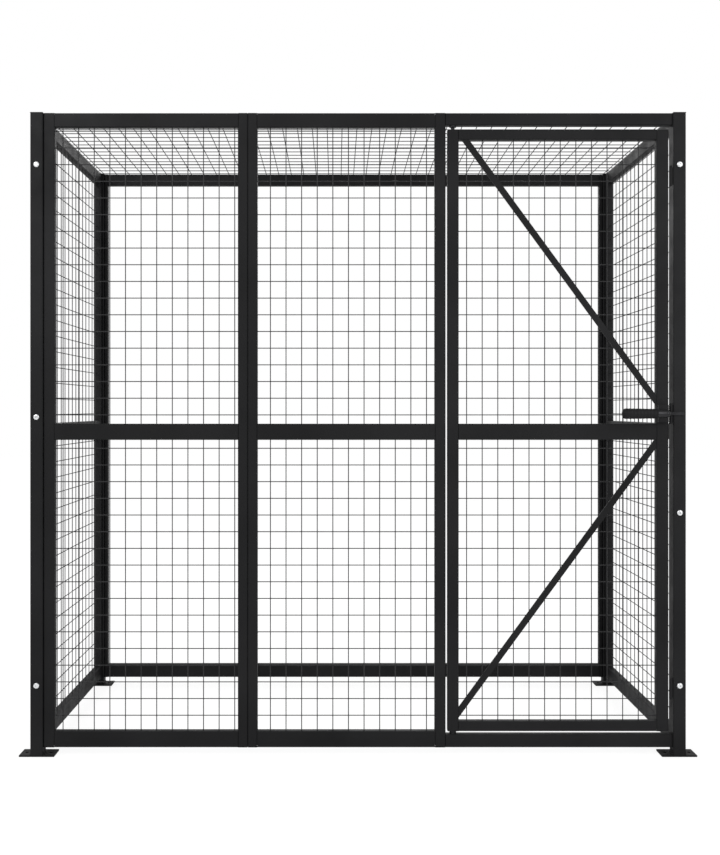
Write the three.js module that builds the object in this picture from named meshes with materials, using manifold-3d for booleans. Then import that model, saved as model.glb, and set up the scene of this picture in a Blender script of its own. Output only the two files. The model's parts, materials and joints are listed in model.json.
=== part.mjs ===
// Wire mesh cage with a braced, pivot-hung mesh door. Millimetres, +Z up, the door side faces -Y.
// Pieces are laid out from the front left corner of the left post, then the whole is centred.
import * as THREE from 'three';
import { mergeVertices } from 'three/addons/utils/BufferGeometryUtils.js';
import Module from 'manifold-3d';

const wasm = await Module();
wasm.setup();

// ---- driving dimensions ----
const cageWidth = 2090;
const cageDepth = 900;
const cageHeight = 2055;
const seatGap = 0.3; // between faces that are welded, bolted or rest on each other

const postSide = 40;
const postWall = 2;
const capThickness = 3;
const capPlugLength = 14;
const plateWidth = 112;
const plateDepth = 62;
const plateThickness = 5;
const plateHoleRadius = 6;
const plateHoleInset = 17;

const panelDepth = 25;
const panelWall = 1.5;
const cornerChamfer = 2.5;
const stileWidth = 31;
const postStileWidth = 36; // of the left panel, beside the post
const jambWidth = 34.5; // of the middle panel, beside the door
const backStileWidth = 15;
const topRailHeight = 45;
const midRailHeight = 51.5;
const bottomRailHeight = 51.5;
const midRailLevel = 1010;
const floorClearance = 28;
const panelTopDrop = 1;
const leftPanelWidth = 652;
const middlePanelWidth = 632.3;
const headerHeight = 39;
const sillHeight = 41.4;

const wireThickness = 3;
const wirePitch = 50;
const rowPitch = 53.5;
const rowRise = 28.3; // of the first wire row above the middle rails
const wireStride = 4; // the solids hold every fourth wire each way
const wireEdgeMargin = 8;
const weldSink = 0.3; // crossing wires are pressed this far into each other
const weldDepth = 0.5; // a rail's end runs this far into the stile's wall

const doorGapHingeSide = 6.2;
const doorGapLockSide = 13.3;
const doorGapTop = 14;
const doorGapBottom = 10;
const doorStileWidth = 35.6;
const lockStileWidth = 38.5;
const doorRailHeight = 32;
const braceWidth = 20;
const braceThickness = 5;
const braceSetback = 2.5;
const braceOverrun = 3; // widths of bar that are cut off past each end
const upperBraceInset = 21.4; // from the pivot stile, along the top rail
const upperBraceRise = 74; // above the middle rail, at the lock stile
const lowerBraceRise = 28; // above the bottom rail, at the pivot stile
const lowerBraceDrop = 8; // below the middle rail, at the lock stile

const pivotRadius = 6;
const pivotFlangeRadius = 11;
const pivotFlangeThickness = 4;
const pivotEngagement = 24;
const pivotClearance = 0.4;
const bushLength = 26;

const barrelRadius = 5.5;
const barrelLength = 66;
const barrelSetback = 6; // barrel axis behind the front of the posts
const barrelTabThickness = 4;
const upperBarrelDrop = 203; // below the top
const lowerBarrelLevel = 216;

const leverRise = 32.5; // above the middle rails
const caseOffset = 4; // of the lock case from the spindle, towards the post
const spindleInset = 24.5; // from the lock edge of the door
const spindleRadius = 4;
const spindleClearance = 0.6;
const spindleTail = 14;
const caseWidth = 32;
const caseHeight = 56;
const caseDepth = 15.5;
const boltBarThickness = 4;
const boltBarHeight = 18;
const boltTongueHeight = 10;
const boltTravel = 14;
const boltReach = 47; // past the lock edge of the door
const boltStandOff = 1; // in front of the post
const neckRadius = 9;
const neckReach = 50; // lever axis in front of the posts
const ferruleRadius = 12.5;
const ferruleLength = 29;
const gripLength = 111;
const gripRadiusInner = 15.5;
const gripRadiusOuter = 17;
const gripRidges = 9;
const gripRidgeDepth = 0.8;

const boltShankRadius = 4;
const boltHoleClearance = 0.4;
const boltHeadRadius = 9.3;
const boltHeadThickness = 5;
const nutThickness = 6.5;
const nutRadius = 7.5;
const boltTipLength = 3;
const boltTopDrop = 167; // of the upper post bolts below the top
const boltMiddleRise = 21.5; // of the middle post bolts above the middle rails
const boltLowerLevel = 227;
const lockPostMiddleDrop = 232; // below the middle rails
const jointBoltLowerLevel = 400;
const jointBoltTopDrop = 355;
const meshOffsets = { left: 11, middle: 41, door: 26.4, side: 20 }; // first upright from a stile
const barSlotMargin = 3; // of lock bolt metal past the ends of its slot

// ---- worked-out places ----
const panelFront = (postSide - panelDepth) / 2;
const panelBack = panelFront + panelDepth;
const panelMiddle = postSide / 2;
const panelTop = cageHeight - panelTopDrop;
const midRailTop = midRailLevel + midRailHeight;
const rowLevel = midRailTop + rowRise;
const leverLevel = midRailTop + leverRise;
const upperBarrelLevel = cageHeight - upperBarrelDrop;
const boltUpperLevel = cageHeight - boltTopDrop;
const boltMiddleLevel = midRailTop + boltMiddleRise;
const lockPostMiddleLevel = midRailLevel - lockPostMiddleDrop;
const jointBoltLevels = { lower: jointBoltLowerLevel, upper: cageHeight - jointBoltTopDrop };
const leftPanelStart = postSide + seatGap;
const leftPanelEnd = leftPanelStart + leftPanelWidth;
const middlePanelStart = leftPanelEnd + seatGap;
const middlePanelEnd = middlePanelStart + middlePanelWidth;
const rightPostStart = cageWidth - postSide;
const doorLeft = middlePanelEnd + doorGapHingeSide;
const doorRight = rightPostStart - doorGapLockSide;
const sillTop = floorClearance + sillHeight;
const headerBottom = panelTop - headerHeight;
const doorBottom = sillTop + doorGapBottom;
const doorTop = headerBottom - doorGapTop;
const pivotX = doorLeft + doorStileWidth / 2;
const leverX = doorRight - spindleInset;
const frontReach = neckReach + gripRadiusOuter;
const backReach = cageDepth + boltHeadThickness;

// ---- materials ----
function coated(colour, roughness, metalness) {
  return new THREE.MeshStandardMaterial({ color: colour, roughness, metalness });
}
const powderCoat = coated(0x17181a, 0.5, 0.2);
const wireCoat = coated(0x1c1d1f, 0.5, 0.3);
const zincSteel = coated(0xc9cbcd, 0.35, 0.9);
const brightSteel = coated(0xb9bbbd, 0.3, 0.9);
const blackPolymer = coated(0x141415, 0.7, 0);

// ---- geometry helpers ----
const holeOverrun = 5; // cutters run this far past what they cut

function placedBox(low, high) {
  const size = high.map((value, i) => value - low[i]);
  const box = new THREE.BoxGeometry(...size);
  return box.translate(...low.map((value, i) => value + size[i] / 2));
}

function positionOnly(geometry) {
  const bare = new THREE.BufferGeometry();
  bare.setAttribute('position', geometry.getAttribute('position').clone());
  if (geometry.index) bare.setIndex(geometry.index.clone());
  return mergeVertices(bare, 1e-4);
}

function toSolid(geometry) {
  const merged = positionOnly(geometry);
  const index = merged.index.array;
  const kept = [];
  for (let i = 0; i < index.length; i += 3) {
    const [a, b, c] = [index[i], index[i + 1], index[i + 2]];
    if (a !== b && b !== c && a !== c) kept.push(a, b, c);
  }
  return new wasm.Manifold(new wasm.Mesh({
    numProp: 3,
    vertProperties: new Float32Array(merged.getAttribute('position').array),
    triVerts: new Uint32Array(kept),
  }));
}

function fromSolid(solid) {
  const mesh = solid.getMesh();
  const geometry = new THREE.BufferGeometry();
  geometry.setAttribute('position', new THREE.BufferAttribute(new Float32Array(mesh.vertProperties), 3));
  geometry.setIndex(new THREE.BufferAttribute(new Uint32Array(mesh.triVerts), 1));
  return geometry;
}

function joined(first, ...others) {
  return fromSolid(others.reduce((solid, other) => solid.add(toSolid(other)), toSolid(first)));
}

function cut(body, cutters) {
  return fromSolid(cutters.reduce((solid, cutter) => solid.subtract(toSolid(cutter)), toSolid(body)));
}

// Turns a shape's extrusion from along Z to along the named axis.
function aimed(geometry, axis) {
  if (axis === 'x') return geometry.rotateY(Math.PI / 2);
  if (axis === 'y') return geometry.rotateX(-Math.PI / 2);
  return geometry;
}

function chamferedOutline(width, height, chamfer) {
  const [x, y] = [width / 2, height / 2];
  const outline = new THREE.Shape();
  outline.moveTo(x - chamfer, -y).lineTo(x, chamfer - y).lineTo(x, y - chamfer).lineTo(x - chamfer, y);
  outline.lineTo(chamfer - x, y).lineTo(-x, y - chamfer).lineTo(-x, chamfer - y).lineTo(chamfer - x, -y);
  return outline;
}

// Outside and bore of an open-ended rectangular tube that fills the box from low to high.
function tubeBodies(axis, low, high, wall) {
  const size = high.map((value, i) => value - low[i]);
  const [width, height, length] = {
    x: [size[2], size[1], size[0]],
    y: [size[0], size[2], size[1]],
    z: [size[0], size[1], size[2]],
  }[axis];
  const outline = chamferedOutline(width, height, cornerChamfer);
  const outside = new THREE.ExtrudeGeometry(outline, { depth: length, bevelEnabled: false });
  aimed(outside.translate(0, 0, -length / 2), axis);
  outside.translate(...low.map((value, i) => value + size[i] / 2));
  const along = ['x', 'y', 'z'].indexOf(axis);
  const inset = [0, 1, 2].map((i) => (i === along ? -holeOverrun : wall));
  const bore = placedBox(low.map((value, i) => value + inset[i]), high.map((value, i) => value - inset[i]));
  return { outside, bore };
}

// Tubes that run into each other become one frame whose bores open into each other.
function hollow(tubes, holes = []) {
  return cut(joined(...tubes.map((body) => body.outside)), [...tubes.map((body) => body.bore), ...holes]);
}

// Solid of revolution along an axis; profile pairs are [radius, distance along the axis].
function turned(profile, sides, axis, at) {
  const points = profile.map(([radius, along]) => new THREE.Vector2(radius, along));
  const body = new THREE.LatheGeometry(points, sides);
  if (axis === 'x') body.rotateZ(-Math.PI / 2);
  if (axis === 'z') body.rotateX(Math.PI / 2);
  return body.translate(...at);
}

function rod(radius, length, sides, axis, at) {
  return turned([[0, 0], [radius, 0], [radius, length], [0, length]], sides, axis, at);
}

function piece(name, geometry, material) {
  const mesh = new THREE.Mesh(geometry, material);
  mesh.name = name;
  return mesh;
}

// ---- posts, caps and base plates ----
const allLevels = { lower: boltLowerLevel, middle: boltMiddleLevel, upper: boltUpperLevel };
const backLevels = { lower: boltLowerLevel, upper: boltUpperLevel };
const lockPostLevels = { ...allLevels, middle: lockPostMiddleLevel };
const backPostStart = cageDepth - postSide;
const corners = [
  { name: 'front_left', x: 0, y: 0, levels: allLevels },
  { name: 'front_right', x: rightPostStart, y: 0, levels: lockPostLevels },
  { name: 'back_left', x: 0, y: backPostStart, levels: backLevels },
  { name: 'back_right', x: rightPostStart, y: backPostStart, levels: backLevels },
];
const postBottom = plateThickness + seatGap;
const postTop = cageHeight - capThickness;
const boltHoleRadius = boltShankRadius + boltHoleClearance;
const boltSides = 8;

function postHoles(corner) {
  const x = corner.x + postSide / 2;
  return Object.values(corner.levels).map((z) =>
    rod(boltHoleRadius, postSide + 2 * holeOverrun, boltSides, 'y', [x, corner.y - holeOverrun, z]));
}

function post(corner) {
  const low = [corner.x, corner.y, postBottom];
  const high = [corner.x + postSide, corner.y + postSide, postTop];
  return piece(`post_${corner.name}`, hollow([tubeBodies('z', low, high, postWall)], postHoles(corner)), powderCoat);
}

function postCap(corner) {
  const inset = postWall + seatGap;
  const top = placedBox(
    [corner.x, corner.y, postTop + seatGap],
    [corner.x + postSide, corner.y + postSide, cageHeight],
  );
  const plug = placedBox(
    [corner.x + inset, corner.y + inset, postTop - capPlugLength],
    [corner.x + postSide - inset, corner.y + postSide - inset, postTop + 2 * seatGap],
  );
  return piece(`post_cap_${corner.name}`, joined(top, plug), blackPolymer);
}

// The plate is flush with the outer face of its post, front or back, and reaches inwards.
function basePlate(corner) {
  const x = corner.x + postSide / 2;
  const y = corner.y === 0 ? plateDepth / 2 : cageDepth - plateDepth / 2;
  const outline = new THREE.Shape();
  const [halfWidth, halfDepth] = [plateWidth / 2, plateDepth / 2];
  outline.moveTo(-halfWidth, -halfDepth).lineTo(halfWidth, -halfDepth);
  outline.lineTo(halfWidth, halfDepth).lineTo(-halfWidth, halfDepth);
  [-1, 1].forEach((side) => {
    const hole = new THREE.Path();
    hole.absarc(side * (halfWidth - plateHoleInset), 0, plateHoleRadius, 0, Math.PI * 2, true);
    outline.holes.push(hole);
  });
  const plate = new THREE.ExtrudeGeometry(outline, { depth: plateThickness, bevelEnabled: false, curveSegments: 6 });
  return piece(`base_plate_${corner.name}`, plate.translate(x, y, 0), powderCoat);
}

// ---- panel frames ----
// A frame stands in a plane: "x" runs left to right at depth across, "y" runs front to back.
function frameBox(run, from, to, acrossLow, acrossHigh, bottom, top) {
  return run === 'x'
    ? [[from, acrossLow, bottom], [to, acrossHigh, top]]
    : [[acrossLow, from, bottom], [acrossHigh, to, top]];
}

function stile(run, from, to, across, bottom, top) {
  return tubeBodies('z', ...frameBox(run, from, to, across, across + panelDepth, bottom, top), panelWall);
}

function rail(run, from, to, across, bottom, top) {
  return tubeBodies(run, ...frameBox(run, from, to, across, across + panelDepth, bottom, top), panelWall);
}

// Stiles run full height, rails are welded between them.
function panelTubes({ run, from, to, across, bottom, top, stiles, rails }) {
  const railFrom = from + stiles[0] - weldDepth;
  const railTo = to - stiles[1] + weldDepth;
  return [
    stile(run, from, from + stiles[0], across, bottom, top),
    stile(run, to - stiles[1], to, across, bottom, top),
    ...rails.map(([low, high]) => rail(run, railFrom, railTo, across, low, high)),
  ];
}

const fixedRails = [
  [floorClearance, floorClearance + bottomRailHeight],
  [midRailLevel, midRailTop],
  [panelTop - topRailHeight, panelTop],
];

function fixedPanel(run, from, to, across, stiles = [stileWidth, stileWidth]) {
  return { run, from, to, across, bottom: floorClearance, top: panelTop, stiles, rails: fixedRails };
}

const leftPanel = fixedPanel('x', leftPanelStart, leftPanelEnd, panelFront, [postStileWidth, stileWidth]);
const middlePanel = fixedPanel('x', middlePanelStart, middlePanelEnd, panelFront, [stileWidth, jambWidth]);
const sideStart = postSide + seatGap;
const sideEnd = cageDepth - postSide - seatGap;
const leftSide = fixedPanel('y', sideStart, sideEnd, panelFront);
const rightSide = fixedPanel('y', sideStart, sideEnd, cageWidth - panelBack);

function jointHoles(x, reach) {
  return Object.values(jointBoltLevels).map((z) => rod(boltHoleRadius, reach, boltSides, 'x', [x, panelMiddle, z]));
}

function leftPanelFrame() {
  const holes = jointHoles(leftPanelEnd - stileWidth - holeOverrun, stileWidth + 2 * holeOverrun);
  return piece('left_panel_frame', hollow(panelTubes(leftPanel), holes), powderCoat);
}

function middlePanelFrame() {
  const holes = jointHoles(middlePanelStart - holeOverrun, stileWidth + 2 * holeOverrun);
  return piece('middle_panel_frame', hollow(panelTubes(middlePanel), holes), powderCoat);
}

// The post bolts pass into the end walls of the side panels.
function sideFrame(name, panel, frontCorner, backCorner) {
  const x = frontCorner.x + postSide / 2;
  const reach = panelWall + 2 * holeOverrun;
  const endHoles = (corner, y) => Object.values(corner.levels).map((z) =>
    rod(boltHoleRadius, reach, boltSides, 'y', [x, y, z]));
  const holes = [
    ...endHoles(frontCorner, sideStart - holeOverrun),
    ...endHoles(backCorner, sideEnd + holeOverrun - reach),
  ];
  return piece(name, hollow(panelTubes(panel), holes), powderCoat);
}

// The back is an open frame, its tubes held between the posts.
function backFrame() {
  const across = cageDepth - panelBack;
  const [from, to] = [postSide + seatGap, rightPostStart - seatGap];
  const [railFrom, railTo] = [from + backStileWidth + seatGap, to - backStileWidth - seatGap];
  const tubes = {
    back_stile_left: stile('x', from, from + backStileWidth, across, floorClearance, panelTop),
    back_stile_right: stile('x', to - backStileWidth, to, across, floorClearance, panelTop),
    back_rail_bottom: rail('x', railFrom, railTo, across, floorClearance, floorClearance + bottomRailHeight),
    back_rail_top: rail('x', railFrom, railTo, across, panelTop - topRailHeight, panelTop),
  };
  return Object.entries(tubes).map(([name, body]) => piece(name, hollow([body]), powderCoat));
}

function doorLintels() {
  const [from, to] = [middlePanelEnd + seatGap, rightPostStart - seatGap];
  return [
    piece('door_header', hollow([rail('x', from, to, panelFront, headerBottom, panelTop)]), powderCoat),
    piece('door_sill', hollow([rail('x', from, to, panelFront, floorClearance, sillTop)]), powderCoat),
  ];
}

// ---- welded wire mesh ----
function placesBetween(low, high, reference, pitch) {
  const step = pitch * wireStride;
  const first = reference + Math.ceil((low + wireEdgeMargin - reference) / step) * step;
  const places = [];
  for (let place = first; place <= high - wireEdgeMargin; place += step) places.push(place);
  return places;
}

const half = wireThickness / 2;
const layerOffset = (wireThickness - weldSink) / 2;

// Uprights stand in the layer nearer to the viewer or the inside, rows are welded behind them.
function uprightMesh({ run, from, to, bottom, top, plane, reference, nearSide }) {
  const uprightPlane = plane + nearSide * layerOffset;
  const rowPlane = plane - nearSide * layerOffset;
  const [start, end] = [from + seatGap, to - seatGap];
  const [low, high] = [bottom + seatGap, top - seatGap];
  const uprights = placesBetween(from, to, reference, wirePitch).map((place) =>
    placedBox(...frameBox(run, place - half, place + half, uprightPlane - half, uprightPlane + half, low, high)));
  const rows = placesBetween(bottom, top, rowLevel, rowPitch).map((level) =>
    placedBox(...frameBox(run, start, end, rowPlane - half, rowPlane + half, level - half, level + half)));
  return joined(...uprights, ...rows);
}

function panelMeshes(name, panel, reference, nearSide) {
  const [from, to] = [panel.from + panel.stiles[0], panel.to - panel.stiles[1]];
  const [lowRail, midRail, highRail] = panel.rails;
  const plane = panel.across + panelDepth / 2;
  const shared = { run: panel.run, from, to, plane, reference, nearSide };
  const lower = uprightMesh({ ...shared, bottom: lowRail[1], top: midRail[0] });
  const upper = uprightMesh({ ...shared, bottom: midRail[1], top: highRail[0] });
  return [piece(`${name}_mesh_lower`, lower, wireCoat), piece(`${name}_mesh_upper`, upper, wireCoat)];
}

function roofMesh() {
  const [left, right] = [panelBack + seatGap, cageWidth - panelBack - seatGap];
  const [front, back] = [panelBack + seatGap, cageDepth - panelBack - seatGap];
  const upper = panelTop - layerOffset;
  const lower = upper - 2 * layerOffset;
  const clear = postSide - panelBack;
  const across = placesBetween(left + clear, right - clear, cageWidth / 2, wirePitch).map((x) =>
    placedBox([x - half, front, lower - half], [x + half, back, lower + half]));
  const along = placesBetween(front + clear, back - clear, cageDepth / 2, wirePitch).map((y) =>
    placedBox([left, y - half, upper - half], [right, y + half, upper + half]));
  return piece('roof_mesh', joined(...across, ...along), wireCoat);
}

// ---- door ----
const doorPanel = {
  run: 'x', from: doorLeft, to: doorRight, across: panelFront, bottom: doorBottom, top: doorTop,
  stiles: [doorStileWidth, lockStileWidth],
  rails: [
    [doorBottom, doorBottom + doorRailHeight],
    [midRailLevel, midRailTop],
    [doorTop - doorRailHeight, doorTop],
  ],
};
const spindleHoleRadius = spindleRadius + spindleClearance;
const spindleSides = 12;

function doorFrame() {
  const hole = rod(spindleHoleRadius, panelWall + 2 * holeOverrun, spindleSides, 'y',
    [leverX, panelFront - holeOverrun, leverLevel]);
  return piece('door_frame', hollow(panelTubes(doorPanel), [hole]), powderCoat);
}

// Flat bar whose middle line passes through both points, cut to fit the door's opening.
function brace(name, start, end, opening) {
  const length = Math.hypot(end.x - start.x, end.z - start.z);
  const [alongX, alongZ] = [(end.x - start.x) / length, (end.z - start.z) / length];
  const corner = (point, past, side) => [
    point.x + alongX * past * braceWidth - alongZ * side * braceWidth / 2,
    point.z + alongZ * past * braceWidth + alongX * side * braceWidth / 2,
  ];
  const outline = new THREE.Shape();
  outline.moveTo(...corner(start, -braceOverrun, -1)).lineTo(...corner(end, braceOverrun, -1));
  outline.lineTo(...corner(end, braceOverrun, 1)).lineTo(...corner(start, -braceOverrun, 1));
  const bar = new THREE.ExtrudeGeometry(outline, { depth: braceThickness, bevelEnabled: false });
  bar.rotateX(Math.PI / 2).translate(0, panelFront + braceSetback + braceThickness, 0);
  const space = placedBox(
    [opening.left + seatGap, panelFront, opening.bottom + seatGap],
    [opening.right - seatGap, panelBack, opening.top - seatGap],
  );
  return piece(name, fromSolid(toSolid(bar).intersect(toSolid(space))), powderCoat);
}

function doorBraces() {
  const [left, right] = [doorLeft + doorStileWidth, doorRight - lockStileWidth];
  const upper = { left, right, bottom: midRailTop, top: doorTop - doorRailHeight };
  const lower = { left, right, bottom: doorBottom + doorRailHeight, top: midRailLevel };
  const upperStart = { x: left + upperBraceInset, z: upper.top };
  const upperEnd = { x: right, z: upper.bottom + upperBraceRise };
  const lowerStart = { x: left, z: lower.bottom + lowerBraceRise };
  const lowerEnd = { x: right, z: lower.top - lowerBraceDrop };
  return [
    brace('door_brace_upper', upperStart, upperEnd, upper),
    brace('door_brace_lower', lowerStart, lowerEnd, lower),
  ];
}

// ---- pivots ----
const pivotSides = 16;

function pivotPin(name, seat, direction, gap) {
  const reach = gap + pivotEngagement;
  const profile = [
    [0, 0], [pivotFlangeRadius, 0], [pivotFlangeRadius, pivotFlangeThickness],
    [pivotRadius, pivotFlangeThickness], [pivotRadius, reach], [0, reach],
  ];
  const pin = turned(profile, pivotSides, 'z', [0, 0, 0]);
  if (direction < 0) pin.rotateX(Math.PI);
  return piece(name, pin.translate(pivotX, panelMiddle, seat + direction * seatGap), brightSteel);
}

function pivotBush(name, bottom) {
  const inset = 2 * (panelWall + seatGap);
  const outline = new THREE.Shape();
  const [x, y] = [(doorStileWidth - inset) / 2, (panelDepth - inset) / 2];
  outline.moveTo(-x, -y).lineTo(x, -y).lineTo(x, y).lineTo(-x, y);
  const bore = new THREE.Path();
  bore.absarc(0, 0, pivotRadius + pivotClearance, 0, Math.PI * 2, true);
  outline.holes.push(bore);
  const options = { depth: bushLength, bevelEnabled: false, curveSegments: pivotSides / 2 };
  const block = new THREE.ExtrudeGeometry(outline, options);
  return piece(name, block.translate(pivotX, panelMiddle, bottom), blackPolymer);
}

// The door's weight rests on this ring, between the lower pin's flange and the pivot stile.
function thrustWasher() {
  const bottom = sillTop + pivotFlangeThickness + 2 * seatGap;
  const top = doorBottom - seatGap;
  const [inner, outer] = [pivotRadius + pivotClearance, pivotFlangeRadius];
  const profile = [[inner, 0], [outer, 0], [outer, top - bottom], [inner, top - bottom], [inner, 0]];
  return piece('thrust_washer', turned(profile, pivotSides, 'z', [pivotX, panelMiddle, bottom]), brightSteel);
}

// ---- barrels on the lock post ----
function stopBarrel(name, level) {
  const x = rightPostStart - doorGapLockSide / 2;
  const barrel = rod(barrelRadius, barrelLength, 12, 'z', [x, barrelSetback, level - barrelLength / 2]);
  const tabHalf = barrelTabThickness / 2;
  const tabReach = barrelLength / 2 - barrelRadius;
  const tab = placedBox(
    [x, barrelSetback - tabHalf, level - tabReach],
    [rightPostStart - seatGap, barrelSetback + tabHalf, level + tabReach],
  );
  return piece(name, joined(barrel, tab), powderCoat);
}

// ---- lock and lever ----
const caseLeft = leverX - caseWidth / 2 + caseOffset;
const caseBack = panelFront - seatGap;
const caseFront = caseBack - caseDepth;
const barBack = -boltStandOff;
const barFront = barBack - boltBarThickness;
const barSlide = 0.3;
const barEnd = doorRight + boltReach;
const slotEnd = leverX + spindleHoleRadius + boltTravel;
const barShoulder = slotEnd + barSlotMargin;
const barStart = leverX - spindleHoleRadius - barSlotMargin;

function lockCase() {
  const body = placedBox(
    [caseLeft, caseFront, leverLevel - caseHeight / 2],
    [caseLeft + caseWidth, caseBack, leverLevel + caseHeight / 2],
  );
  const tunnelHalf = boltBarHeight / 2 + barSlide;
  const tunnel = placedBox(
    [caseLeft - holeOverrun, barFront - barSlide, leverLevel - tunnelHalf],
    [caseLeft + caseWidth + holeOverrun, barBack + barSlide, leverLevel + tunnelHalf],
  );
  const hole = rod(spindleHoleRadius, caseDepth + 2 * holeOverrun, spindleSides, 'y',
    [leverX, caseFront - holeOverrun, leverLevel]);
  return piece('lock_case', cut(body, [tunnel, hole]), powderCoat);
}

// Slotted bar round the spindle, narrowing to the tongue that lies over the post.
function lockBolt() {
  const [high, low] = [boltBarHeight / 2, boltTongueHeight / 2];
  const outline = new THREE.Shape();
  outline.moveTo(barStart, -high).lineTo(barShoulder, -high).lineTo(barShoulder, -low).lineTo(barEnd, -low);
  outline.lineTo(barEnd, low).lineTo(barShoulder, low).lineTo(barShoulder, high).lineTo(barStart, high);
  const slot = new THREE.Path();
  const slotStart = leverX - spindleHoleRadius;
  slot.moveTo(slotStart, -spindleHoleRadius).lineTo(slotStart, spindleHoleRadius);
  slot.lineTo(slotEnd, spindleHoleRadius).lineTo(slotEnd, -spindleHoleRadius);
  outline.holes.push(slot);
  const bar = new THREE.ExtrudeGeometry(outline, { depth: boltBarThickness, bevelEnabled: false });
  return piece('lock_bolt', bar.rotateX(Math.PI / 2).translate(0, barBack, leverLevel), brightSteel);
}

// Spindle, neck, rounded elbow and ferrule in one turned and welded piece.
function leverNeck() {
  const spindleStart = panelFront + panelWall + spindleTail;
  const neckEnd = caseFront - seatGap;
  const stem = turned([
    [0, -neckReach], [neckRadius, -neckReach], [neckRadius, neckEnd],
    [spindleRadius, neckEnd], [spindleRadius, spindleStart], [0, spindleStart],
  ], spindleSides, 'y', [leverX, 0, leverLevel]);
  const elbow = new THREE.SphereGeometry(ferruleRadius, spindleSides, 8).translate(leverX, -neckReach, leverLevel);
  const taper = gripRadiusInner - ferruleRadius;
  const ferrule = turned([
    [0, 0], [ferruleRadius + taper / 2, 0], [ferruleRadius, ferruleLength], [0, ferruleLength],
  ], spindleSides, 'x', [leverX - ferruleLength, -neckReach, leverLevel]);
  return piece('lever_neck', joined(stem, elbow, ferrule), brightSteel);
}

// Ribbed grip, thicker towards its free end.
function leverGrip() {
  const profile = [[0, 0], [gripRadiusOuter * 0.75, 0], [gripRadiusOuter, gripRadiusOuter * 0.35]];
  const ribbedLength = gripLength - gripRadiusOuter * 0.7;
  const step = ribbedLength / gripRidges;
  for (let ridge = 0; ridge < gripRidges; ridge += 1) {
    const along = gripRadiusOuter * 0.35 + step * (ridge + 0.5);
    const radius = THREE.MathUtils.lerp(gripRadiusOuter, gripRadiusInner, along / gripLength);
    profile.push([radius - gripRidgeDepth, along], [radius, along + step / 2]);
  }
  profile.push([gripRadiusInner, gripLength], [0, gripLength]);
  const start = leverX - ferruleLength - seatGap - gripLength;
  return piece('lever_grip', turned(profile, spindleSides, 'x', [start, -neckReach, leverLevel]), blackPolymer);
}

// ---- fasteners ----
// Bolt along the axis from its head at the given face, with its nut past the far wall.
function bolt(name, axis, face, direction, reach) {
  const nutStart = reach + seatGap;
  const nutEnd = nutStart + nutThickness;
  const tip = nutEnd + boltTipLength;
  const profile = [
    [0, -boltHeadThickness], [boltHeadRadius * 0.6, -boltHeadThickness * 0.85],
    [boltHeadRadius, -boltHeadThickness * 0.4], [boltHeadRadius, -seatGap],
    [boltShankRadius, -seatGap], [boltShankRadius, nutStart],
    [nutRadius, nutStart], [nutRadius, nutEnd], [boltShankRadius, nutEnd], [boltShankRadius, tip], [0, tip],
  ];
  const body = turned(profile, boltSides, axis, [0, 0, 0]);
  if (direction < 0) body.rotateZ(Math.PI);
  return piece(name, body.translate(...face), zincSteel);
}

function postBolts(corner) {
  const front = corner.y === 0;
  const x = corner.x + postSide / 2;
  const reach = postSide + seatGap + panelWall;
  return Object.entries(corner.levels).map(([level, z]) =>
    bolt(`post_bolt_${corner.name}_${level}`, 'y', [x, front ? 0 : cageDepth, z], front ? 1 : -1, reach));
}

// The heads and nuts of these lie inside the hollow of the two stiles.
function panelJointBolts() {
  const face = leftPanelEnd - panelWall;
  const reach = 2 * panelWall + seatGap;
  return Object.entries(jointBoltLevels).map(([level, z]) =>
    bolt(`panel_joint_bolt_${level}`, 'x', [face, panelMiddle, z], 1, reach));
}

// ---- assembly ----
const cage = new THREE.Group();
corners.forEach((corner) => {
  cage.add(post(corner), postCap(corner), basePlate(corner), ...postBolts(corner));
});
cage.add(leftPanelFrame(), middlePanelFrame(), ...doorLintels(), ...backFrame());
cage.add(sideFrame('left_side_frame', leftSide, corners[0], corners[2]));
cage.add(sideFrame('right_side_frame', rightSide, corners[1], corners[3]));
cage.add(...panelJointBolts(), roofMesh());

const leftMeshReference = leftPanelEnd - stileWidth - meshOffsets.left;
const middleMeshReference = middlePanelStart + stileWidth + meshOffsets.middle;
const doorMeshReference = doorLeft + doorStileWidth + meshOffsets.door;
const sideMeshReference = sideStart + stileWidth + meshOffsets.side;
cage.add(...panelMeshes('left_panel', leftPanel, leftMeshReference, -1));
cage.add(...panelMeshes('middle_panel', middlePanel, middleMeshReference, -1));
cage.add(...panelMeshes('left_side', leftSide, sideMeshReference, 1));
cage.add(...panelMeshes('right_side', rightSide, sideMeshReference, -1));

cage.add(pivotPin('pivot_pin_top', headerBottom, -1, doorGapTop));
cage.add(pivotPin('pivot_pin_bottom', sillTop, 1, doorGapBottom), thrustWasher());
cage.add(stopBarrel('stop_barrel_top', upperBarrelLevel));
cage.add(stopBarrel('stop_barrel_middle', leverLevel));
cage.add(stopBarrel('stop_barrel_bottom', lowerBarrelLevel));

const door = new THREE.Group();
door.add(doorFrame(), ...doorBraces(), ...panelMeshes('door', doorPanel, doorMeshReference, -1));
door.add(pivotBush('pivot_bush_top', doorTop - bushLength), pivotBush('pivot_bush_bottom', doorBottom));
door.add(lockCase(), lockBolt(), leverNeck(), leverGrip());
cage.add(door);

// Origin on the floor under the middle of everything, lever and bolt heads included.
cage.position.set(-cageWidth / 2, (frontReach - backReach) / 2, 0);

export default cage;
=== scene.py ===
"""Mesh cage with a braced door: what is seen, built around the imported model.

It adds the finishes, the full wire meshes, domed bolts, the lever and the weld beads at the feet.
All lengths are in metres.
"""
import json
import math

import bmesh
import bpy
from mathutils import Matrix, Vector


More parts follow.
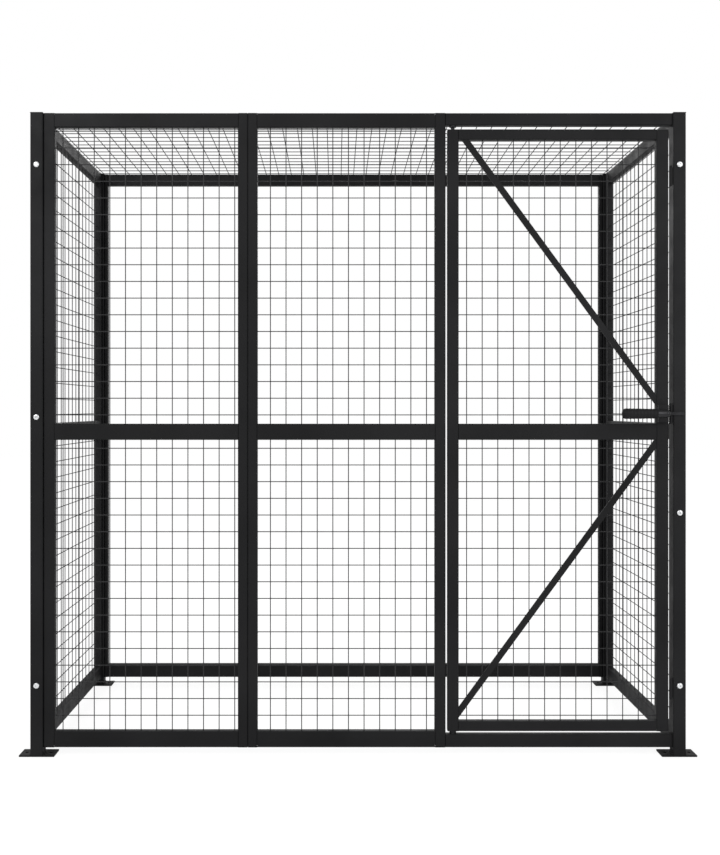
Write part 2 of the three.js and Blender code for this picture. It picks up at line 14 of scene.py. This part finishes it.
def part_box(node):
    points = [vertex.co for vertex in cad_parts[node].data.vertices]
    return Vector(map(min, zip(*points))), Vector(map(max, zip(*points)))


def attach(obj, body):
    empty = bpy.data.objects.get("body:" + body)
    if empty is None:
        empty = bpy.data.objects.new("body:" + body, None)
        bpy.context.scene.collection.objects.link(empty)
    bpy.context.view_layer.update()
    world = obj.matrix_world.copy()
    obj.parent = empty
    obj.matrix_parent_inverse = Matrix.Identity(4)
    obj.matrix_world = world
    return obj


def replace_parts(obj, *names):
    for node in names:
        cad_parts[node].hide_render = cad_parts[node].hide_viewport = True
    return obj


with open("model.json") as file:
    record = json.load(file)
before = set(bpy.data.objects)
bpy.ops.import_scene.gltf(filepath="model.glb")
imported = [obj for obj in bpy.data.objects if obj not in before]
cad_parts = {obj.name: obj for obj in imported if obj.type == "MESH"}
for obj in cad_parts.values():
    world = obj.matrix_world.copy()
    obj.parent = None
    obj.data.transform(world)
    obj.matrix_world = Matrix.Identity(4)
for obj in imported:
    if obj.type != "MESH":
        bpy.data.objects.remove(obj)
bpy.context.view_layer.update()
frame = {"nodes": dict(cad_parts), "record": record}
scene = bpy.context.scene

# ---- driving values ----
MM = 0.001
WIRE_RADIUS = 1.5 * MM
WIRE_SIDES = 10
WIRE_PITCH = 50 * MM
ROW_PITCH = 53.5 * MM
ROW_LEVEL = 1089.8 * MM  # of one row, from which the others are counted
EDGE_MARGIN = 8 * MM  # least distance from a wire to the edge of its mesh
END_GAP = 0.3 * MM  # between faces that are welded or rest on each other in the model
ROUND_SIDES = 48
QUARTER_STEPS = 10  # steps of a rounding over a quarter turn
SMOOTH_ANGLE = 35  # degrees; edges sharper than this stay crisp

PHOTO_WIDTH = 720
PHOTO_HEIGHT = 855
VANISH_X = 336.4  # pixel of the photograph straight ahead of the camera
VANISH_Y = 408.6
FOCAL_PIXELS = 1027.7
SENSOR_WIDTH = 36.0
EYE_X = -69 * MM
EYE_HEIGHT = 1110 * MM
EYE_DISTANCE = 3274 * MM  # in front of the posts

COAT_COLOUR = (0.0095, 0.0095, 0.0101, 1)
WIRE_COLOUR = (0.018, 0.018, 0.019, 1)
ZINC_COLOUR = (0.74, 0.75, 0.76, 1)
STEEL_COLOUR = (0.022, 0.022, 0.0235, 1)
POLYMER_COLOUR = (0.0065, 0.0065, 0.007, 1)
FLOOR_COLOUR = (0.93, 0.93, 0.93, 1)


# ---- materials ----
NOISE_LOW = 0.3  # noise from here to NOISE_HIGH runs over the whole span of colour or gloss
NOISE_HIGH = 0.7
CLOUD_DETAIL = 3.0
GLOSS_DETAIL = 4.0
GRAIN_DETAIL = 2.0
GLOSS_FINENESS = 7  # how much finer the gloss varies than the colour
GRAIN_DEPTH = 0.2 * MM


def new_material(name, colour, metallic):
    material = bpy.data.materials.new(name)
    material.use_nodes = True
    nodes = material.node_tree.nodes
    shader = nodes["Principled BSDF"]
    shader.inputs["Base Color"].default_value = colour
    shader.inputs["Metallic"].default_value = metallic
    return material, nodes, material.node_tree.links, shader


def noise(nodes, links, scale, detail, stretch=(1, 1, 1)):
    place = nodes.new("ShaderNodeTexCoord")
    mapping = nodes.new("ShaderNodeMapping")
    mapping.inputs["Scale"].default_value = stretch
    texture = nodes.new("ShaderNodeTexNoise")
    texture.inputs["Scale"].default_value = scale
    texture.inputs["Detail"].default_value = detail
    links.new(place.outputs["Object"], mapping.inputs["Vector"])
    links.new(mapping.outputs["Vector"], texture.inputs["Vector"])
    return texture.outputs["Fac"]


def spread(nodes, links, value, low, high):
    span = nodes.new("ShaderNodeMapRange")
    span.inputs["From Min"].default_value = NOISE_LOW
    span.inputs["From Max"].default_value = NOISE_HIGH
    span.inputs["To Min"].default_value = low
    span.inputs["To Max"].default_value = high
    links.new(value, span.inputs["Value"])
    return span.outputs["Result"]


def tinted(nodes, links, value, dark, pale):
    ramp = nodes.new("ShaderNodeValToRGB")
    ramp.color_ramp.elements[0].position = NOISE_LOW
    ramp.color_ramp.elements[0].color = dark
    ramp.color_ramp.elements[1].position = NOISE_HIGH
    ramp.color_ramp.elements[1].color = pale
    links.new(value, ramp.inputs["Fac"])
    return ramp.outputs["Color"]


def add_bump(nodes, links, shader, height, strength, distance):
    bump = nodes.new("ShaderNodeBump")
    bump.inputs["Strength"].default_value = strength
    bump.inputs["Distance"].default_value = distance
    links.new(height, bump.inputs["Height"])
    links.new(bump.outputs["Normal"], shader.inputs["Normal"])


def shade(colour, factor):
    return tuple(channel * factor for channel in colour[:3]) + (1,)


def finish(name, colour, metallic, roughness, grain, grain_strength, stretch=(1, 1, 1),
           cloud=3.0, contrast=0.3, specular=0.5):
    """Cloudy colour and gloss at arm's length, fine grain close up."""
    material, nodes, links, shader = new_material(name, colour, metallic)
    shader.inputs["Specular IOR Level"].default_value = specular
    cloudy = noise(nodes, links, cloud, CLOUD_DETAIL)
    pale, dark = shade(colour, 1 + contrast), shade(colour, 1 - contrast)
    links.new(tinted(nodes, links, cloudy, dark, pale), shader.inputs["Base Color"])
    uneven = noise(nodes, links, cloud * GLOSS_FINENESS, GLOSS_DETAIL, stretch)
    links.new(spread(nodes, links, uneven, *roughness), shader.inputs["Roughness"])
    grainy = noise(nodes, links, grain, GRAIN_DETAIL, stretch)
    add_bump(nodes, links, shader, grainy, grain_strength, GRAIN_DEPTH)
    return material


FINISHES = {
    "powder_coat": finish("powder_coat", COAT_COLOUR, metallic=0.0, roughness=(0.46, 0.6),
                          grain=900, grain_strength=0.22, specular=0.12),
    "wire": finish("coated_wire", WIRE_COLOUR, metallic=0.1, roughness=(0.4, 0.55),
                   grain=1500, grain_strength=0.2, specular=0.25),
    "zinc": finish("zinc_plate", ZINC_COLOUR, metallic=0.9, roughness=(0.22, 0.4),
                   grain=700, grain_strength=0.12, cloud=60, contrast=0.08),
    "steel": finish("brushed_dark_steel", STEEL_COLOUR, metallic=0.85, roughness=(0.28, 0.42),
                    grain=500, grain_strength=0.15, stretch=(1, 12, 12), cloud=20),
    "polymer": finish("moulded_polymer", POLYMER_COLOUR, metallic=0.0, roughness=(0.5, 0.66),
                      grain=1800, grain_strength=0.35, specular=0.15),
}


# ---- mesh helpers ----
def add_piece(name, mesh_maker, body, slot, smooth_angle=SMOOTH_ANGLE):
    """One object that rides on a body, in the finish of its material slot."""
    mesh = bpy.data.meshes.new(name)
    shape = bmesh.new()
    mesh_maker(shape)
    bmesh.ops.recalc_face_normals(shape, faces=shape.faces)
    for face in shape.faces:
        face.smooth = True
    limit = math.radians(smooth_angle)
    for edge in shape.edges:
        edge.smooth = len(edge.link_faces) == 2 and edge.calc_face_angle(0) < limit
    shape.to_mesh(mesh)
    shape.free()
    piece = bpy.data.objects.new(name, mesh)
    scene.collection.objects.link(piece)
    mesh.materials.append(FINISHES[slot])
    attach(piece, body)
    return piece


AIM = {
    "x": Matrix.Rotation(math.pi / 2, 4, "Y"),
    "-x": Matrix.Rotation(-math.pi / 2, 4, "Y"),
    "y": Matrix.Rotation(-math.pi / 2, 4, "X"),
    "-y": Matrix.Rotation(math.pi / 2, 4, "X"),
    "z": Matrix.Identity(4),
}


def add_turned(shape, profile, axis, at, sides=ROUND_SIDES):
    """Solid of revolution around an axis through a point.

    The profile's pairs are (radius, distance along the axis). Its first and last lie on the axis.
    """
    place = Matrix.Translation(at) @ AIM[axis]
    rings = []
    for radius, along in profile:
        if radius == 0:
            rings.append([shape.verts.new(place @ Vector((0, 0, along)))])
            continue
        ring = []
        for side in range(sides):
            turn = 2 * math.pi * side / sides
            spot = Vector((radius * math.cos(turn), radius * math.sin(turn), along))
            ring.append(shape.verts.new(place @ spot))
        rings.append(ring)
    for ring, following in zip(rings, rings[1:]):
        for side in range(sides):
            ahead = (side + 1) % sides
            corners = [ring[side % len(ring)], ring[ahead % len(ring)],
                       following[ahead % len(following)], following[side % len(following)]]
            shape.faces.new(list(dict.fromkeys(corners)))


def add_wire(shape, start, end, axis):
    length = (end - start).length
    profile = [(0, 0), (WIRE_RADIUS, 0), (WIRE_RADIUS, length), (0, length)]
    add_turned(shape, profile, axis, start, WIRE_SIDES)


def places_between(low, high, reference, pitch):
    first = math.ceil((low + EDGE_MARGIN - reference) / pitch)
    last = math.floor((high - EDGE_MARGIN - reference) / pitch)
    return [reference + pitch * step for step in range(first, last + 1)]


def quarter_turns(first=0):
    """Angles up to a quarter turn, from the numbered step on."""
    return [math.pi / 2 * step / QUARTER_STEPS for step in range(first, QUARTER_STEPS + 1)]


def middle_of(node):
    low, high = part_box(node)
    return (Vector(low) + Vector(high)) / 2


# ---- full wire mesh ----
LEFT_OFFSET = 11 * MM  # from the frame to the upright that the others are counted from
MIDDLE_OFFSET = 41 * MM
DOOR_OFFSET = 26.4 * MM
SIDE_OFFSET = 20 * MM
LEFT_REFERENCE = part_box("left_panel_mesh_upper")[1][0] + END_GAP - LEFT_OFFSET
MIDDLE_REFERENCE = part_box("middle_panel_mesh_upper")[0][0] - END_GAP + MIDDLE_OFFSET
DOOR_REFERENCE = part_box("door_mesh_upper")[0][0] - END_GAP + DOOR_OFFSET
SIDE_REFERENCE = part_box("left_side_mesh_upper")[0][1] - END_GAP + SIDE_OFFSET


def upright_mesh(node, body, run, reference, near_side):
    """Uprights in the layer on the near side, rows welded to their far side."""
    low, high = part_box(node)
    along, across = (0, 1) if run == "x" else (1, 0)
    near, far = low[across] + WIRE_RADIUS, high[across] - WIRE_RADIUS
    if near_side > 0:
        near, far = far, near

    def point(place, depth, level):
        spot = [0, 0, level]
        spot[along] = place
        spot[across] = depth
        return Vector(spot)

    def make(shape):
        for place in places_between(low[along], high[along], reference, WIRE_PITCH):
            add_wire(shape, point(place, near, low[2]), point(place, near, high[2]), "z")
        for level in places_between(low[2], high[2], ROW_LEVEL, ROW_PITCH):
            add_wire(shape, point(low[along], far, level), point(high[along], far, level), run)

    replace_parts(add_piece(node + "_full", make, body, "wire"), node)


def roof():
    low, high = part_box("roof_mesh")
    middle = [(low[i] + high[i]) / 2 for i in range(2)]
    upper, lower = high[2] - WIRE_RADIUS, low[2] + WIRE_RADIUS

    def make(shape):
        for x in places_between(low[0], high[0], middle[0], WIRE_PITCH):
            add_wire(shape, Vector((x, low[1], lower)), Vector((x, high[1], lower)), "y")
        for y in places_between(low[1], high[1], middle[1], WIRE_PITCH):
            add_wire(shape, Vector((low[0], y, upper)), Vector((high[0], y, upper)), "x")

    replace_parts(add_piece("roof_mesh_full", make, "cage", "wire"), "roof_mesh")


for half in ("lower", "upper"):
    upright_mesh("left_panel_mesh_" + half, "cage", "x", LEFT_REFERENCE, -1)
    upright_mesh("middle_panel_mesh_" + half, "cage", "x", MIDDLE_REFERENCE, -1)
    upright_mesh("door_mesh_" + half, "door", "x", DOOR_REFERENCE, -1)
    upright_mesh("left_side_mesh_" + half, "cage", "y", SIDE_REFERENCE, 1)
    upright_mesh("right_side_mesh_" + half, "cage", "y", SIDE_REFERENCE, -1)
roof()


# ---- fasteners ----
HEAD_RADIUS = 9.3 * MM
HEAD_HEIGHT = 5 * MM
HEAD_LIFT = 0.3 * MM  # of the head off the post
HEAD_RIM = 0.8 * MM  # from the post to the start of the dome
SOCKET_RADIUS = 3.0 * MM
SOCKET_DEPTH = 3.6 * MM
SOCKET_RING = 0.8 * MM  # width of the flat around the socket
SHANK_RADIUS = 4 * MM
NUT_RADIUS = 7.5 * MM
NUT_HEIGHT = 6.5 * MM
NUT_EDGE = 0.7 * MM  # bevel of the nut and of the shank's tip
TIP_LENGTH = 3 * MM


def bolt_profile(length):
    """From the floor of the socket, over the head, down the shank and over the nut to the tip."""
    top = HEAD_HEIGHT - HEAD_LIFT
    flat = SOCKET_RADIUS + SOCKET_RING
    points = [(0, SOCKET_DEPTH - top), (SOCKET_RADIUS, SOCKET_DEPTH - top), (SOCKET_RADIUS, -top)]
    for turn in quarter_turns():
        points.append((flat + (HEAD_RADIUS - flat) * math.sin(turn),
                       -HEAD_RIM - (top - HEAD_RIM) * math.cos(turn)))
    near = length - TIP_LENGTH - NUT_HEIGHT
    far = near + NUT_HEIGHT
    return points + [
        (HEAD_RADIUS, -HEAD_LIFT), (SHANK_RADIUS, -HEAD_LIFT), (SHANK_RADIUS, near),
        (NUT_RADIUS - NUT_EDGE, near), (NUT_RADIUS, near + NUT_EDGE), (NUT_RADIUS, far - NUT_EDGE),
        (NUT_RADIUS - NUT_EDGE, far), (SHANK_RADIUS, far), (SHANK_RADIUS, length - NUT_EDGE),
        (SHANK_RADIUS - NUT_EDGE, length), (0, length)]


def dressed_bolt(node):
    """The head is in front on the front posts and behind on the back posts."""
    low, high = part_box(node)
    middle = middle_of(node)
    length = high[1] - low[1] - HEAD_HEIGHT
    axis, face = ("y", low[1] + HEAD_HEIGHT) if middle.y < 0 else ("-y", high[1] - HEAD_HEIGHT)

    def make(shape):
        add_turned(shape, bolt_profile(length), axis, Vector((middle.x, face, middle.z)))

    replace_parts(add_piece(node + "_dressed", make, "cage", "zinc"), node)


for name in frame["nodes"]:
    if name.startswith("post_bolt"):
        dressed_bolt(name)


# ---- lever ----
GRIP_RADIUS_END = 17 * MM
GRIP_RADIUS_NECK = 15.5 * MM
GRIP_CAP = 0.6  # length of the rounded free end, in radii
GRIP_RIBS = 9
GRIP_PLAIN = 6 * MM  # end without ribs, at the ferrule
GRIP_LIP = 4 * MM
GRIP_EDGE = 1 * MM
GRIP_SMOOTH_ANGLE = 60
RIB_DEPTH = 0.7 * MM
RIB_STEPS = 8
ELBOW_RADIUS = 12.5 * MM
NECK_RADIUS = 9 * MM
NECK_TAPER = 6 * MM  # length over which the elbow narrows to the neck
NECK_EDGE = 1.2 * MM
SPINDLE_RADIUS = 4 * MM
SPINDLE_EDGE = 1 * MM
FERRULE_RADII = (12.2 * MM, 12.5 * MM, 13.0 * MM)  # at the elbow, before the lip and at its end
FERRULE_LIP = 1 * MM


def grip_profile(length):
    """Rounded free end, soft ribs, then a lip where the ferrule enters."""
    cap = GRIP_RADIUS_END * GRIP_CAP
    points = [(0, 0)]
    for turn in quarter_turns(1):
        points.append(((GRIP_RADIUS_END - RIB_DEPTH) * math.sin(turn), cap * (1 - math.cos(turn))))
    ribbed = length - cap - GRIP_PLAIN
    for step in range(1, GRIP_RIBS * RIB_STEPS + 1):
        share = step / (GRIP_RIBS * RIB_STEPS)
        radius = GRIP_RADIUS_END + (GRIP_RADIUS_NECK - GRIP_RADIUS_END) * share
        wave = (1 + math.cos(2 * math.pi * GRIP_RIBS * share)) / 2
        points.append((radius - RIB_DEPTH * wave, cap + ribbed * share))
    return points + [(GRIP_RADIUS_NECK, length - GRIP_LIP), (GRIP_RADIUS_NECK, length - GRIP_EDGE),
                     (GRIP_RADIUS_NECK - GRIP_EDGE, length), (0, length)]


def ribbed_grip(middle):
    low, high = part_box("lever_grip")

    def make(shape):
        start = Vector((low[0], middle.y, middle.z))
        add_turned(shape, grip_profile(high[0] - low[0]), "x", start)

    grip = add_piece("lever_grip_ribbed", make, "lever", "polymer", GRIP_SMOOTH_ANGLE)
    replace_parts(grip, "lever_grip")


def turned_neck(grip_middle):
    """Elbow on the grip's axis, neck and spindle back into the lock case, ferrule to the grip."""
    low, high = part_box("lever_neck")
    elbow = Vector((high[0] - ELBOW_RADIUS, grip_middle.y, grip_middle.z))
    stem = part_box("lock_case")[0][1] - END_GAP - elbow.y
    tail = high[1] - elbow.y
    ferrule = elbow.x - low[0]
    neck_profile = [(ELBOW_RADIUS * math.sin(turn), -ELBOW_RADIUS * math.cos(turn))
                    for turn in quarter_turns()]
    neck_profile += [
        (NECK_RADIUS, NECK_TAPER), (NECK_RADIUS, stem - NECK_EDGE), (NECK_RADIUS - NECK_EDGE, stem),
        (SPINDLE_RADIUS, stem), (SPINDLE_RADIUS, tail - SPINDLE_EDGE),
        (SPINDLE_RADIUS - SPINDLE_EDGE, tail), (0, tail)]
    ferrule_profile = [
        (0, 0), (FERRULE_RADII[0], 0), (FERRULE_RADII[1], ferrule - FERRULE_LIP),
        (FERRULE_RADII[2], ferrule), (0, ferrule)]

    def make(shape):
        add_turned(shape, neck_profile, "y", elbow)
        add_turned(shape, ferrule_profile, "-x", elbow)

    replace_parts(add_piece("lever_neck_turned", make, "lever", "steel"), "lever_neck")


lever_axis = middle_of("lever_grip")
ribbed_grip(lever_axis)
turned_neck(lever_axis)


# ---- welds ----
BEAD_RADIUS = 2.2 * MM
BEAD_STEP = 3.4 * MM
BEAD_FINENESS = 2  # subdivisions of the balls that a bead is made of
BEAD_LIFT = BEAD_RADIUS * 0.35  # of the balls' centres over the plate
BEAD_STANDOFF = BEAD_RADIUS * 0.3  # of the balls' centres from the post
BEAD_MARGIN = 3 * MM  # from the ends of a bead to the post's corners
BEAD_SMOOTH_ANGLE = 80


def weld_bead(name, start, end):
    """A row of overlapping ripples along a joint."""
    path = end - start
    count = round(path.length / BEAD_STEP)

    def make(shape):
        for step in range(count):
            place = Matrix.Translation(start + path * ((step + 0.5) / count))
            bmesh.ops.create_icosphere(shape, subdivisions=BEAD_FINENESS, radius=BEAD_RADIUS,
                                       matrix=place)

    add_piece(name, make, "cage", "powder_coat", BEAD_SMOOTH_ANGLE)


for corner in ("front_left", "front_right", "back_left", "back_right"):
    post_low, post_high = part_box("post_" + corner)
    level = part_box("base_plate_" + corner)[1][2] + BEAD_LIFT
    for side, x in (("a", post_low[0] - BEAD_STANDOFF), ("b", post_high[0] + BEAD_STANDOFF)):
        weld_bead("foot_weld_%s_%s" % (corner, side),
                  Vector((x, post_low[1] + BEAD_MARGIN, level)),
                  Vector((x, post_high[1] - BEAD_MARGIN, level)))


# ---- finish of the nodes that stay ----
SLOTS = {row["node"]: row["material_slot"] for row in frame["record"]["subparts"]}
for name, node in frame["nodes"].items():
    node.data.materials.clear()
    node.data.materials.append(FINISHES[SLOTS[name]])


# ---- floor, light and camera ----
FLOOR_SIZE = 40
FLOOR_ROUGHNESS = 0.9
FLOOR_GLOW = 1.08
FLOOR_GLOW_SHARE = 0.8  # of what the camera sees of the floor; the rest takes light and shadow
WORLD_LIGHT = 0.75
WORLD_SEEN = 1.0  # strength behind the object, as the camera sees it
WORLD_COLOUR = (1, 1, 1, 1)


def plain_floor():
    bpy.ops.mesh.primitive_plane_add(size=FLOOR_SIZE, location=(0, 0, 0))
    floor = bpy.context.object
    floor.name = "floor"
    material, nodes, links, shader = new_material("floor_white", FLOOR_COLOUR, 0.0)
    shader.inputs["Roughness"].default_value = FLOOR_ROUGHNESS
    seen = nodes.new("ShaderNodeLightPath")
    glow = nodes.new("ShaderNodeEmission")
    glow.inputs["Strength"].default_value = FLOOR_GLOW
    part = nodes.new("ShaderNodeMath")
    part.operation = "MULTIPLY"
    part.inputs[1].default_value = FLOOR_GLOW_SHARE
    mix = nodes.new("ShaderNodeMixShader")
    links.new(seen.outputs["Is Camera Ray"], part.inputs[0])
    links.new(part.outputs[0], mix.inputs[0])
    links.new(shader.outputs[0], mix.inputs[1])
    links.new(glow.outputs[0], mix.inputs[2])
    links.new(mix.outputs[0], nodes["Material Output"].inputs["Surface"])
    floor.data.materials.append(material)


def pale_world():
    world = bpy.data.worlds.new("pale_world")
    world.use_nodes = True
    scene.world = world
    nodes, links = world.node_tree.nodes, world.node_tree.links
    seen = nodes.new("ShaderNodeLightPath")
    strength = nodes.new("ShaderNodeMapRange")
    strength.inputs["To Min"].default_value = WORLD_LIGHT
    strength.inputs["To Max"].default_value = WORLD_SEEN
    links.new(seen.outputs["Is Camera Ray"], strength.inputs["Value"])
    links.new(strength.outputs["Result"], nodes["Background"].inputs["Strength"])
    nodes["Background"].inputs["Color"].default_value = WORLD_COLOUR


def soft_lamp(name, place, target, width, power):
    lamp = bpy.data.lights.new(name, "AREA")
    lamp.size = width
    lamp.energy = power
    holder = bpy.data.objects.new(name, lamp)
    holder.location = place
    holder.rotation_euler = (Vector(target) - Vector(place)).to_track_quat("-Z", "Y").to_euler()
    scene.collection.objects.link(holder)


def photo_camera():
    camera = bpy.data.cameras.new("photo_camera")
    camera.sensor_fit = "HORIZONTAL"
    camera.sensor_width = SENSOR_WIDTH
    camera.lens = FOCAL_PIXELS / PHOTO_WIDTH * SENSOR_WIDTH
    camera.shift_x = (PHOTO_WIDTH / 2 - VANISH_X) / PHOTO_WIDTH
    camera.shift_y = (VANISH_Y - PHOTO_HEIGHT / 2) / PHOTO_WIDTH
    holder = bpy.data.objects.new("photo_camera", camera)
    post_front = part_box("post_front_left")[0][1]
    holder.location = (EYE_X, post_front - EYE_DISTANCE, EYE_HEIGHT)
    holder.rotation_euler = (math.pi / 2, 0, 0)
    scene.collection.objects.link(holder)
    scene.camera = holder


plain_floor()
pale_world()
soft_lamp("key_lamp", place=(-2.6, -3.4, 3.6), target=(0, 0, 1), width=2.4, power=90)
soft_lamp("fill_lamp", place=(3.0, -3.0, 2.2), target=(0.3, 0, 1), width=2.0, power=45)
soft_lamp("rear_lamp", place=(0.5, 3.6, 3.2), target=(0, 0, 1), width=2.0, power=40)
photo_camera()
scene.view_settings.view_transform = "Standard"
